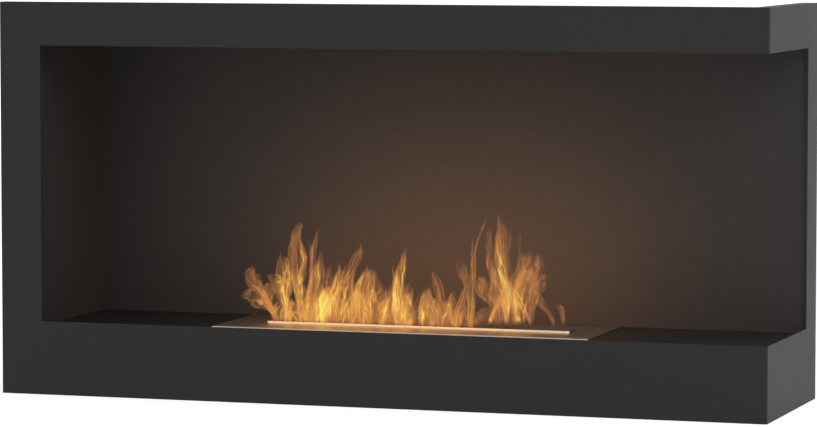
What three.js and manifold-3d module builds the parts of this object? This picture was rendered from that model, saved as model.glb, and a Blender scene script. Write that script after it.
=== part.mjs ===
// A built-in bioethanol fireplace for a wall's right-hand corner: a double-walled steel box, open at the
// front and on the right, with a lift-out stainless burner in its floor. Millimetres, +Z up. X runs along the
// front, -Y faces the room, and the origin is the middle of the base.
import * as THREE from "three";
import { mergeVertices } from "three/addons/utils/BufferGeometryUtils.js";
import Module from "manifold-3d";

const wasm = await Module();
wasm.setup();

// ---- Driving dimensions ----

// Overall size and sheet.
const WIDTH = 1000;
const HEIGHT = 500;
const DEPTH = 268;
const SHEET = 2;

// Facade: the folded front-and-side frame that shows.
const SIDE_BAR = 55; // the left bar's width
const REAR_COLUMN = 55; // the rear column's width, seen from the right
const TOP_BAR = 55;
const BOTTOM_BAR = 94;
const RETURN = 20; // flanges folded back along the facade's outer edges
const FOLD_RADIUS = 3; // outside radius of the fold between front and side
const FOLD_STEPS = 4;

// Casing: the outer box behind the facade.
const CASING_STEP = 20; // the casing stands this far inside the facade's left and top edges
const FLANGE = 12; // joining flanges on casing and firebox sheets

// Firebox: the inner box.
const REVEAL = 6; // the firebox walls stand back this far behind the facade's opening

// Spacers that hold the two boxes apart.
const BACK_SPACER_WIDTH = 40;
const BACK_SPACER_INSET = 60; // from the firebox's floor, ceiling and ends
const LEFT_SPACER_WIDTH = 30;
const LEFT_SPACER_INSET = 30; // from the firebox's floor and ceiling
const CEILING_SPACER_WIDTH = 30;
const CEILING_SPACER_INSET = 190; // from the firebox's ends
const FLOOR_SUPPORT_WIDTH = 40;
const SPACER_MARGIN = 40; // from the firebox's front and back to the nearest spacer

// Keyhole slots in the casing's back for hanging on wall screws.
const KEYHOLE_INSET = 105; // from the casing's ends
const KEYHOLE_DROP = 42; // from the casing's top
const KEYHOLE_ROUND = 12; // diameter that passes the screw's head
const KEYHOLE_SLOT = 6; // width that holds the screw's shank
const KEYHOLE_RISE = 14; // from the round hole's centre to the slot's end
const KEYHOLE_SIDES = 16;

// Flush blind rivets.
const RIVET_HEAD = 6;
const RIVET_HEAD_DEPTH = 1.4;
const RIVET_SHANK = 3.2;
const RIVET_BULB = 4.6;
const RIVET_BULB_DEPTH = 2.5;
const RIVET_CLEARANCE = 0.3;
const RIVET_SIDES = 12;
const RIVET_EDGE = 6; // from a sheet's fold to the rivets that hold its flange
const RIVET_INSET = 70; // from a row's ends to its first and last rivet

// Burner: the slot comes first, and the rest is built out from it.
const BURNER_SHIFT_X = -2.5; // the slot's middle from the middle of the firebox floor
const BURNER_SHIFT_Y = 12.5;
const SLOT_LENGTH = 399;
const SLOT_WIDTH = 30;
const SLOT_RADIUS = 3;
const CORNER_STEPS = 3;
const COLLAR_WALL = 2;
const COLLAR_HEIGHT = 2.5;
const SHUTTER_SHEET = 1.5;
const SHUTTER_LAP = 6.5; // how far it covers past the slot
const SHUTTER_GAP = 0.3; // sliding clearance above and below
const LIP_DROP = 1; // from the collar's top to the pull lip's
const LIP_END_GAP = 0.5; // from the lip's ends to the slot's corners
const LIP_STOP_GAP = 0.5; // from the lip to the slot's edge at either end of its travel
const RAIL_SHEET = 1.5;
const RAIL_LEDGE = 6;
const RAIL_SIDE_GAP = 0.5;
const RAIL_OVERRUN = 1; // past the open shutter's back edge
const TANK_SHEET = 1.5;
const TANK_ROOM_X = 10; // from a rail to the tank's wall
const TANK_ROOM_Y = 4; // from the open shutter to the tank's wall
const TANK_UNDER_GAP = 22; // from the casing's bottom to the tank
const TANK_CLEARANCE = 3; // round the tank in the floor's cut-out
const PLATE_THICKNESS = 2;
const PLATE_LAP_X = 25; // how far the plate laps the floor round the cut-out
const PLATE_LAP_Y = 17;
const PLATE_SHIFT = -5.5; // the plate's middle from the slot's
const WOOL_GAP = 1; // round the wool and the grid in the tank
const GRID_SHEET = 1;
const GRID_GAP = 2; // from the grid to the rails
const GRID_SLOT_LENGTH = 26;
const GRID_SLOT_WIDTH = 6;
const GRID_PITCH_X = 38;
const GRID_PITCH_Y = 18;
const GRID_RIM = 8;

// ---- Faces that several pieces share ----

const left = -WIDTH / 2;
const right = WIDTH / 2;
const front = -DEPTH / 2;
const back = DEPTH / 2;
const sideInner = right - SHEET; // the side sheet's inner face
const frontInner = front + SHEET;
const backInner = back - SHEET;
const openingLeft = left + SIDE_BAR;
const openingTop = HEIGHT - TOP_BAR;
const openingBack = back - REAR_COLUMN;

const casingLeft = left + CASING_STEP;
const casingTop = HEIGHT - CASING_STEP;
const casingBottom = SHEET; // it lies on the facade's bottom return

const fireLeft = openingLeft - REVEAL;
const fireFloor = BOTTOM_BAR - REVEAL;
const fireCeiling = openingTop + REVEAL;
const fireBack = openingBack + REVEAL;

const backSpacerAlong = [fireLeft + BACK_SPACER_INSET, sideInner - BACK_SPACER_INSET];
const backSpacerLower = fireFloor + BACK_SPACER_INSET;
const backSpacerUpper = fireCeiling - BACK_SPACER_INSET;

// The burner's place in the firebox, and its faces from the slot's middle and the firebox floor.
const slotX = (fireLeft + sideInner) / 2 + BURNER_SHIFT_X;
const slotY = (frontInner + fireBack) / 2 + BURNER_SHIFT_Y;
const collarTop = PLATE_THICKNESS + COLLAR_HEIGHT;
const shutterTop = -SHUTTER_GAP;
const shutterBottom = shutterTop - SHUTTER_SHEET;
const shutterHalf = SLOT_LENGTH / 2 + SHUTTER_LAP;
const lipBack = SLOT_WIDTH / 2 - LIP_STOP_GAP;
const lipFront = lipBack - SHUTTER_SHEET;
const shutterBack = lipFront + SLOT_WIDTH + SHUTTER_LAP;
const ledgeTop = shutterBottom - SHUTTER_GAP;
const railInner = shutterHalf + RAIL_SIDE_GAP;
const railOuter = railInner + RAIL_SHEET;
const railHalf = shutterBack + RAIL_OVERRUN;
const tankBottom = casingBottom + SHEET + TANK_UNDER_GAP - fireFloor;
const tankFloor = tankBottom + TANK_SHEET;
const tankInsideX = railOuter + TANK_ROOM_X;
const tankInsideY = shutterBack + TANK_ROOM_Y;
const cutoutX = tankInsideX + TANK_SHEET + TANK_CLEARANCE;
const cutoutY = tankInsideY + TANK_SHEET + TANK_CLEARANCE;
const gridTop = ledgeTop - RAIL_SHEET - GRID_GAP;
const woolTop = gridTop - GRID_SHEET;

// ---- Solids ----

/** A closed geometry as a solid for cutting and joining. */
function solidOf(geometry) {
  const bare = geometry.clone();
  bare.deleteAttribute("normal");
  bare.deleteAttribute("uv");
  const merged = mergeVertices(bare, 1e-4);
  return new wasm.Manifold(
    new wasm.Mesh({
      numProp: 3,
      vertProperties: new Float32Array(merged.attributes.position.array),
      triVerts: new Uint32Array(merged.index.array),
    }),
  );
}

/** A solid back as a geometry with flat faces. */
function geometryOf(solid) {
  const mesh = solid.getMesh();
  const geometry = new THREE.BufferGeometry();
  geometry.setAttribute("position", new THREE.BufferAttribute(mesh.vertProperties, 3));
  geometry.setIndex(new THREE.BufferAttribute(mesh.triVerts, 1));
  const flat = geometry.toNonIndexed();
  flat.computeVertexNormals();
  return flat;
}

/** A block between two faces on each axis. */
function block([x0, x1], [y0, y1], [z0, z1]) {
  const geometry = new THREE.BoxGeometry(x1 - x0, y1 - y0, z1 - z0);
  return solidOf(geometry.translate((x0 + x1) / 2, (y0 + y1) / 2, (z0 + z1) / 2));
}

/** A block of given half sizes round the Z axis, between two heights. */
const middleBlock = (halfX, halfY, heights) => block([-halfX, halfX], [-halfY, halfY], heights);

/** Several solids as one. */
const joined = (solids) => solids.reduce((sum, solid) => sum.add(solid));

/** A solid with others cut out of it. */
const cut = (solid, cutters) => cutters.reduce((rest, cutter) => rest.subtract(cutter), solid);

/** An outline drawn in X and Y, raised between two heights. */
function raised(shape, z0, z1, curveSegments) {
  const options = { depth: z1 - z0, bevelEnabled: false, curveSegments };
  return solidOf(new THREE.ExtrudeGeometry(shape, options).translate(0, 0, z0));
}

/** The flame slot's outline round its middle, with rounded corners, grown by a given wall. */
function slotOutline(wall) {
  const [x, y] = [SLOT_LENGTH / 2 + wall, SLOT_WIDTH / 2 + wall];
  const radius = SLOT_RADIUS + wall;
  return new THREE.Shape()
    .moveTo(radius - x, -y)
    .lineTo(x - radius, -y)
    .absarc(x - radius, radius - y, radius, -Math.PI / 2, 0)
    .lineTo(x, y - radius)
    .absarc(x - radius, y - radius, radius, 0, Math.PI / 2)
    .lineTo(radius - x, y)
    .absarc(radius - x, y - radius, radius, Math.PI / 2, Math.PI)
    .lineTo(-x, radius - y)
    .absarc(radius - x, radius - y, radius, Math.PI, 1.5 * Math.PI);
}

// ---- Materials ----

const powderCoat = new THREE.MeshStandardMaterial({ color: 0x38383a, roughness: 0.62, metalness: 0.0 });
const stainless = new THREE.MeshStandardMaterial({ color: 0xb9b4ad, roughness: 0.34, metalness: 1.0 });
const wool = new THREE.MeshStandardMaterial({ color: 0xe9e4d8, roughness: 0.95, metalness: 0.0 });
const galvanised = new THREE.MeshStandardMaterial({ color: 0x8c9094, roughness: 0.5, metalness: 1.0 });

const blackSteel = new THREE.MeshStandardMaterial({ color: 0x3c3c3e, roughness: 0.5, metalness: 0.3 });

// ---- The scene graph ----

const fireplace = new THREE.Group();
const casing = new THREE.Group();
const firebox = new THREE.Group();
const spacers = new THREE.Group();
const rivetSet = new THREE.Group();
const burner = new THREE.Group(); // its own origin is the slot's middle, level with the firebox floor
burner.position.set(slotX, slotY, fireFloor);
fireplace.add(casing, firebox, spacers, rivetSet, burner);

/** Adds one named piece to its group, with its own geometry and material. */
function addPiece(name, solid, material, parent) {
  const mesh = new THREE.Mesh(geometryOf(solid), material.clone());
  mesh.name = name;
  parent.add(mesh);
  return mesh;
}

// ---- Rivets: each is a head flush with a sheet's outer face, a shank and a blind bulb ----

const rivetGrip = 2 * SHEET;

/** A body of revolution round Z, from [radius, height] points listed from its top down. */
function turned(profile) {
  const points = profile.map(([radius, height]) => new THREE.Vector2(radius, height)).reverse();
  return solidOf(new THREE.LatheGeometry(points, RIVET_SIDES).rotateX(Math.PI / 2));
}

/** A set rivet along -Z, with the face of its flush head at the origin. */
function rivetSolid() {
  const [head, shank, bulb] = [RIVET_HEAD / 2, RIVET_SHANK / 2, RIVET_BULB / 2];
  const under = -rivetGrip - RIVET_CLEARANCE;
  const end = under - RIVET_BULB_DEPTH;
  const stem = [[shank, -RIVET_HEAD_DEPTH], [shank, under]];
  return turned([[0, 0], [head, 0], ...stem, [bulb, under], [bulb, end], [0, end]]);
}

/** The countersunk hole for a rivet, run past both faces. */
function rivetHoleSolid() {
  const head = RIVET_HEAD / 2 + RIVET_CLEARANCE;
  const shank = RIVET_SHANK / 2 + RIVET_CLEARANCE;
  const neck = -RIVET_HEAD_DEPTH - RIVET_CLEARANCE;
  const end = -rivetGrip - SHEET;
  return turned([[0, SHEET], [head, SHEET], [head, 0], [shank, neck], [shank, end], [0, end]]);
}

/** Evenly spaced places between two ends, the first and last set in from them. */
function spread([low, high], count) {
  const first = low + RIVET_INSET;
  const pitch = (high - RIVET_INSET - first) / (count - 1);
  return Array.from({ length: count }, (_, i) => first + i * pitch);
}

/** Where the rivets go: through the casing's back or left sheet and the flange behind it. */
function rivetPlaces() {
  const across = spread([casingLeft, right], 3);
  const up = [casingBottom, casingTop];
  const topRow = casingTop - SHEET - RIVET_EDGE;
  const bottomRow = casingBottom + SHEET + RIVET_EDGE;
  const backRows = [
    ["back_top", across, [topRow]],
    ["back_bottom", across, [bottomRow]],
    ["back_left", [casingLeft + SHEET + RIVET_EDGE], spread(up, 2)],
    ["back_right", [right - RETURN / 2], spread(up, 3)],
    ["back_spacer_lower", spread(backSpacerAlong, 2), [backSpacerLower]],
    ["back_spacer_upper", spread(backSpacerAlong, 2), [backSpacerUpper]],
  ];
  const onBack = backRows.flatMap(([row, xs, zs]) =>
    xs.flatMap((x) => zs.map((z) => ({ row, at: [x, back, z], turn: [-Math.PI / 2, 0, 0] }))),
  );
  const leftRows = [
    ["left_top", topRow],
    ["left_bottom", bottomRow],
  ];
  const onLeft = leftRows.flatMap(([row, z]) =>
    spread([front, back], 2).map((y) => ({ row, at: [casingLeft, y, z], turn: [0, -Math.PI / 2, 0] })),
  );
  return [...onBack, ...onLeft];
}

/** A rivet or its hole, turned to point into the casing and put in its place. */
function placed(solid, { at, turn }) {
  const matrix = new THREE.Matrix4().makeRotationFromEuler(new THREE.Euler(...turn));
  matrix.setPosition(...at);
  return solid.transform(matrix.elements);
}

const rivets = rivetPlaces();
const rivetHoles = rivets.map((place) => placed(rivetHoleSolid(), place));

// ---- Facade ----

/** The facade: front and side sheets in one folded piece, with returns along the outer edges. */
function facadeSolid() {
  const inner = FOLD_RADIUS - SHEET;
  const plan = new THREE.Shape()
    .moveTo(left, front)
    .lineTo(right - FOLD_RADIUS, front)
    .absarc(right - FOLD_RADIUS, front + FOLD_RADIUS, FOLD_RADIUS, -Math.PI / 2, 0)
    .lineTo(right, back)
    .lineTo(sideInner, back)
    .lineTo(sideInner, front + FOLD_RADIUS)
    .absarc(right - FOLD_RADIUS, front + FOLD_RADIUS, inner, 0, -Math.PI / 2, true)
    .lineTo(left, frontInner);
  const sheet = raised(plan, 0, HEIGHT, FOLD_STEPS);
  const opening = block([openingLeft, right + SHEET], [front - SHEET, openingBack], [BOTTOM_BAR, openingTop]);
  const returns = [[0, SHEET], [HEIGHT - SHEET, HEIGHT]].flatMap((heights) => [
    block([left, right - FOLD_RADIUS], [frontInner - SHEET / 2, front + RETURN], heights),
    block([right - RETURN, right - SHEET / 2], [front + FOLD_RADIUS, back - SHEET], heights),
  ]);
  const leftReturn = block([left, left + SHEET], [frontInner - SHEET / 2, front + RETURN], [0, HEIGHT]);
  const rearReturn = block([right - RETURN, right - SHEET / 2], [backInner - SHEET, backInner], [0, HEIGHT]);
  return cut(joined([sheet, ...returns, leftReturn, rearReturn]), [opening, ...rivetHoles]);
}

addPiece("facade_frame", facadeSolid(), powderCoat, casing);

// ---- Casing ----

const casingX = [casingLeft + SHEET, sideInner];
const casingY = [frontInner, backInner];
const rearReturnNotch = block([right - RETURN, right], [backInner - SHEET, back], [0, HEIGHT]);
const bottomReturnNotch = block([left, right], [front, front + RETURN], [0, casingBottom]);
const foldNotch = block([right - FOLD_RADIUS, right], [front, front + FOLD_RADIUS], [0, HEIGHT]);

/** The flat back sheet, with its keyholes. */
function casingBackSolid() {
  const sheet = block([casingLeft, sideInner], [backInner, back], [0, casingTop]);
  const height = casingTop - KEYHOLE_DROP;
  const keyholes = [casingLeft + KEYHOLE_INSET, sideInner - KEYHOLE_INSET].flatMap((x) => {
    const round = new THREE.CylinderGeometry(KEYHOLE_ROUND / 2, KEYHOLE_ROUND / 2, 4 * SHEET, KEYHOLE_SIDES);
    const slot = [x - KEYHOLE_SLOT / 2, x + KEYHOLE_SLOT / 2];
    return [
      solidOf(round.translate(x, back, height)),
      block(slot, [back - 2 * SHEET, back + SHEET], [height, height + KEYHOLE_RISE]),
    ];
  });
  return cut(sheet, [...keyholes, ...rivetHoles]);
}

/** The left sheet, with a flange turned out behind the facade and one turned in at the back. */
function casingLeftSolid() {
  const heights = [casingBottom, casingTop];
  const between = [casingBottom + SHEET + FLANGE, casingTop - SHEET - FLANGE];
  return cut(
    joined([
      block([casingLeft, casingLeft + SHEET], casingY, [0, casingTop]),
      block([casingLeft - FLANGE, casingLeft + SHEET], [frontInner, frontInner + SHEET], heights),
      block([casingLeft, casingLeft + SHEET + FLANGE], [backInner - SHEET, backInner], between),
    ]),
    [bottomReturnNotch, ...rivetHoles],
  );
}

/** The top sheet: flanges turned up behind the facade, and down inside the left and back sheets. */
function casingTopSolid() {
  const under = [casingTop - SHEET - FLANGE, casingTop];
  const over = [casingTop - SHEET, casingTop + FLANGE];
  return cut(
    joined([
      block(casingX, casingY, [casingTop - SHEET, casingTop]),
      block(casingX, [frontInner, frontInner + SHEET], over),
      block([sideInner - SHEET, sideInner], casingY, over),
      block([casingLeft + SHEET, casingLeft + 2 * SHEET], casingY, under),
      block(casingX, [backInner - SHEET, backInner], under),
    ]),
    [foldNotch, rearReturnNotch, ...rivetHoles],
  );
}

/** The bottom tray, with its four edges turned up. */
function casingBottomSolid() {
  const edges = [casingBottom, casingBottom + SHEET + FLANGE];
  return cut(
    joined([
      block(casingX, casingY, [casingBottom, casingBottom + SHEET]),
      block(casingX, [frontInner, frontInner + SHEET], edges),
      block(casingX, [backInner - SHEET, backInner], edges),
      block([casingLeft + SHEET, casingLeft + 2 * SHEET], casingY, edges),
      block([sideInner - SHEET, sideInner], casingY, edges),
    ]),
    [foldNotch, rearReturnNotch, ...rivetHoles],
  );
}

addPiece("casing_back", casingBackSolid(), powderCoat, casing);
addPiece("casing_left", casingLeftSolid(), powderCoat, casing);
addPiece("casing_top", casingTopSolid(), powderCoat, casing);
addPiece("casing_bottom", casingBottomSolid(), powderCoat, casing);

// ---- Firebox ----

const fireX = [fireLeft, sideInner];
const fireY = [frontInner, fireBack];

/** The floor sheet: cut out for the tank, with its front and right edges turned down. */
function fireboxFloorSolid() {
  const edges = [fireFloor - SHEET - FLANGE, fireFloor];
  return cut(
    joined([
      block(fireX, fireY, [fireFloor - SHEET, fireFloor]),
      block(fireX, [frontInner, frontInner + SHEET], edges),
      block([sideInner - SHEET, sideInner], fireY, edges),
    ]),
    [foldNotch, middleBlock(cutoutX, cutoutY, [0, fireFloor + SHEET]).translate([slotX, slotY, 0])],
  );
}

/** The ceiling sheet, with its front and right edges turned up. */
function fireboxCeilingSolid() {
  const edges = [fireCeiling, fireCeiling + SHEET + FLANGE];
  return cut(
    joined([
      block(fireX, fireY, [fireCeiling, fireCeiling + SHEET]),
      block(fireX, [frontInner, frontInner + SHEET], edges),
      block([sideInner - SHEET, sideInner], fireY, edges),
    ]),
    [foldNotch],
  );
}

/** The left wall, with its front edge turned out. */
function fireboxLeftSolid() {
  const heights = [fireFloor - SHEET, fireCeiling + SHEET];
  return joined([
    block([fireLeft - SHEET, fireLeft], fireY, heights),
    block([fireLeft - SHEET - FLANGE, fireLeft], [frontInner, frontInner + SHEET], heights),
  ]);
}

/** The back wall, with its right edge turned back along the rear column. */
function fireboxBackSolid() {
  const heights = [fireFloor - SHEET, fireCeiling + SHEET];
  return joined([
    block([fireLeft - SHEET, sideInner], [fireBack, fireBack + SHEET], heights),
    block([sideInner - SHEET, sideInner], [fireBack, fireBack + SHEET + FLANGE], heights),
  ]);
}

addPiece("firebox_floor", fireboxFloorSolid(), powderCoat, firebox);
addPiece("firebox_ceiling", fireboxCeilingSolid(), powderCoat, firebox);
addPiece("firebox_left", fireboxLeftSolid(), powderCoat, firebox);
addPiece("firebox_back", fireboxBackSolid(), powderCoat, firebox);

// ---- Spacers: channels of folded sheet that fill the gaps between firebox and casing ----

/** A channel along the back: the web on the casing, the arms against the firebox. */
function backSpacerSolid(height) {
  const gap = [fireBack + SHEET, backInner];
  const z0 = height - BACK_SPACER_WIDTH / 2;
  const z1 = height + BACK_SPACER_WIDTH / 2;
  const channel = joined([
    block(backSpacerAlong, [backInner - SHEET, backInner], [z0, z1]),
    block(backSpacerAlong, gap, [z0, z0 + SHEET]),
    block(backSpacerAlong, gap, [z1 - SHEET, z1]),
  ]);
  return cut(channel, rivetHoles);
}

/** An upright channel between the left walls, from its front face back. */
function leftSpacerSolid(y0) {
  const heights = [fireFloor + LEFT_SPACER_INSET, fireCeiling - LEFT_SPACER_INSET];
  const gap = [casingLeft + SHEET, fireLeft - SHEET];
  const y1 = y0 + LEFT_SPACER_WIDTH;
  return joined([
    block([gap[0], gap[0] + SHEET], [y0, y1], heights),
    block(gap, [y0, y0 + SHEET], heights),
    block(gap, [y1 - SHEET, y1], heights),
  ]);
}

/** A channel that runs front to back between two levels, with the web at the top or at the bottom. */
function crossSpacerSolid(x, width, [low, high], webAtTop) {
  const along = [frontInner + SPACER_MARGIN, fireBack - SPACER_MARGIN];
  const [x0, x1] = [x - width / 2, x + width / 2];
  const web = webAtTop ? [high - SHEET, high] : [low, low + SHEET];
  return joined([
    block([x0, x1], along, web),
    block([x0, x0 + SHEET], along, [low, high]),
    block([x1 - SHEET, x1], along, [low, high]),
  ]);
}

const leftSpacerRear = fireBack - SPACER_MARGIN - LEFT_SPACER_WIDTH;
const ceilingGap = [fireCeiling + SHEET, casingTop - SHEET];
const ceilingSpacer = (x) => crossSpacerSolid(x, CEILING_SPACER_WIDTH, ceilingGap, true);
const floorGap = [casingBottom + SHEET, fireFloor - SHEET];
const floorSupport = (x) => crossSpacerSolid(x, FLOOR_SUPPORT_WIDTH, floorGap, false);

addPiece("back_spacer_lower", backSpacerSolid(backSpacerLower), galvanised, spacers);
addPiece("back_spacer_upper", backSpacerSolid(backSpacerUpper), galvanised, spacers);
addPiece("left_spacer_front", leftSpacerSolid(frontInner + SPACER_MARGIN), galvanised, spacers);
addPiece("left_spacer_rear", leftSpacerSolid(leftSpacerRear), galvanised, spacers);
addPiece("ceiling_spacer_left", ceilingSpacer(fireLeft + CEILING_SPACER_INSET), galvanised, spacers);
addPiece("ceiling_spacer_right", ceilingSpacer(sideInner - CEILING_SPACER_INSET), galvanised, spacers);
addPiece("floor_support_left", floorSupport((fireLeft + slotX - cutoutX) / 2), galvanised, spacers);
addPiece("floor_support_right", floorSupport((sideInner + slotX + cutoutX) / 2), galvanised, spacers);

// ---- Rivets ----

const rowCounts = new Map();
rivets.forEach(({ row, at, turn }) => {
  const number = (rowCounts.get(row) ?? 0) + 1;
  rowCounts.set(row, number);
  const rivet = addPiece(`rivet_${row}_${number}`, rivetSolid(), blackSteel, rivetSet);
  rivet.position.set(...at);
  rivet.rotation.set(...turn);
});

// ---- Burner, in its group's own frame ----

/** The top plate, with the flame slot and the collar round it. */
function burnerPlateSolid() {
  const plate = middleBlock(cutoutX + PLATE_LAP_X, cutoutY + PLATE_LAP_Y, [0, PLATE_THICKNESS]);
  const collar = raised(slotOutline(COLLAR_WALL), 0, collarTop, CORNER_STEPS);
  const slot = raised(slotOutline(0), -SHEET, collarTop + SHEET, CORNER_STEPS);
  return cut(joined([plate.translate([PLATE_SHIFT, 0, 0]), collar]), [slot]);
}

/** The open-topped fuel tank that hangs from the plate. */
function tankSolid() {
  return cut(
    middleBlock(tankInsideX + TANK_SHEET, tankInsideY + TANK_SHEET, [tankBottom, 0]),
    [middleBlock(tankInsideX, tankInsideY, [tankFloor, SHEET])],
  );
}

/** A flat piece that fills the tank's plan between two heights. */
const tankFilling = (z0, z1) => middleBlock(tankInsideX - WOOL_GAP, tankInsideY - WOOL_GAP, [z0, z1]);

/** The slotted grid that lies on the wool. */
function gridSolid() {
  const columns = Math.floor((2 * (tankInsideX - GRID_RIM)) / GRID_PITCH_X);
  const rows = Math.floor((2 * (tankInsideY - GRID_RIM)) / GRID_PITCH_Y);
  const through = [woolTop - SHEET, gridTop + SHEET];
  const slots = [];
  for (let column = 0; column < columns; column += 1) {
    for (let row = 0; row < rows; row += 1) {
      const x = (column - (columns - 1) / 2) * GRID_PITCH_X;
      const y = (row - (rows - 1) / 2) * GRID_PITCH_Y;
      slots.push(middleBlock(GRID_SLOT_LENGTH / 2, GRID_SLOT_WIDTH / 2, through).translate([x, y, 0]));
    }
  }
  return cut(tankFilling(woolTop, gridTop), slots);
}

/** The shutter, open: a sheet behind the slot whose front edge is turned up into it as a pull lip. */
function shutterSolid() {
  const lipHalf = SLOT_LENGTH / 2 - SLOT_RADIUS - LIP_END_GAP;
  return joined([
    block([-shutterHalf, shutterHalf], [lipFront, shutterBack], [shutterBottom, shutterTop]),
    block([-lipHalf, lipHalf], [lipFront, lipBack], [shutterBottom, collarTop - LIP_DROP]),
  ]);
}

/** A rail under the plate at one end of the shutter: an upright, and a ledge that the shutter slides on. */
function railSolid(side) {
  const along = [-railHalf, railHalf];
  const span = (near, far) => [side * near, side * far].sort((a, b) => a - b);
  return joined([
    block(span(railInner, railOuter), along, [ledgeTop - RAIL_SHEET, 0]),
    block(span(railInner - RAIL_LEDGE, railOuter), along, [ledgeTop - RAIL_SHEET, ledgeTop]),
  ]);
}

addPiece("burner_plate", burnerPlateSolid(), stainless, burner);
addPiece("fuel_tank", tankSolid(), stainless, burner);
addPiece("ceramic_wool", tankFilling(tankFloor, woolTop), wool, burner);
addPiece("wool_grid", gridSolid(), stainless, burner);
addPiece("shutter_rail_left", railSolid(-1), stainless, burner);
addPiece("shutter_rail_right", railSolid(1), stainless, burner);
addPiece("shutter", shutterSolid(), stainless, burner);

export default fireplace;
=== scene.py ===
"""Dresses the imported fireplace: finishes for its sheet metal, rivets, wool and flames, and a plain studio."""

import logging
import math
from dataclasses import dataclass
from enum import Enum
from functools import reduce
from typing import Callable, Sequence

import bmesh
import bpy
import numpy as np
from bpy.types import ID, Material, Node, NodeSocket, NodeTree, Object, bpy_prop_collection
from mathutils import Matrix, Vector


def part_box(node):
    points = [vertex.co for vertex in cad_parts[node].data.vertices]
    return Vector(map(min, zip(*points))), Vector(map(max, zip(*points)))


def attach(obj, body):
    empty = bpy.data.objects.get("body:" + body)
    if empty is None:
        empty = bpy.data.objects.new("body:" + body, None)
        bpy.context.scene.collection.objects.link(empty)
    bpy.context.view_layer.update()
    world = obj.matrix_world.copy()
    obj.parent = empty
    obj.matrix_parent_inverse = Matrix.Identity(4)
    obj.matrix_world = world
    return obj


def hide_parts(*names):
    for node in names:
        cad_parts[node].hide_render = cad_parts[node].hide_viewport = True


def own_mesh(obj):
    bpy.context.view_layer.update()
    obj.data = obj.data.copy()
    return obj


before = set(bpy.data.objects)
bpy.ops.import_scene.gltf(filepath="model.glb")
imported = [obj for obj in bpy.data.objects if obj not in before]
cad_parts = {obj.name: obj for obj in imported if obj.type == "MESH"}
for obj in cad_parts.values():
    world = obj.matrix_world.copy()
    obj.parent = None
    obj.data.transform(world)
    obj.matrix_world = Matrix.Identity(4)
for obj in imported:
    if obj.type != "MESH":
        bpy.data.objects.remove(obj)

logging.basicConfig(level=logging.INFO, format="%(message)s")
log = logging.getLogger("fireplace")

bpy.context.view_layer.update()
MM = 0.001
Triple = tuple[float, float, float]
Colour = Triple
Point = Triple
Span = tuple[float, float]
Sockets = bpy_prop_collection


class Body(Enum):
    """The rigid bodies that pieces ride on."""

    CASING = "casing"
    BURNER = "burner"
    SHUTTER = "shutter"


class Slot(Enum):
    """Names of material slots, which sheet work holds but does not use."""

    POWDER_COAT = "powder_coat"
    STAINLESS = "stainless"
    RIVET_STEEL = "rivet_steel"
    CERAMIC_WOOL = "ceramic_wool"


# ---- Shader helpers ----


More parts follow.
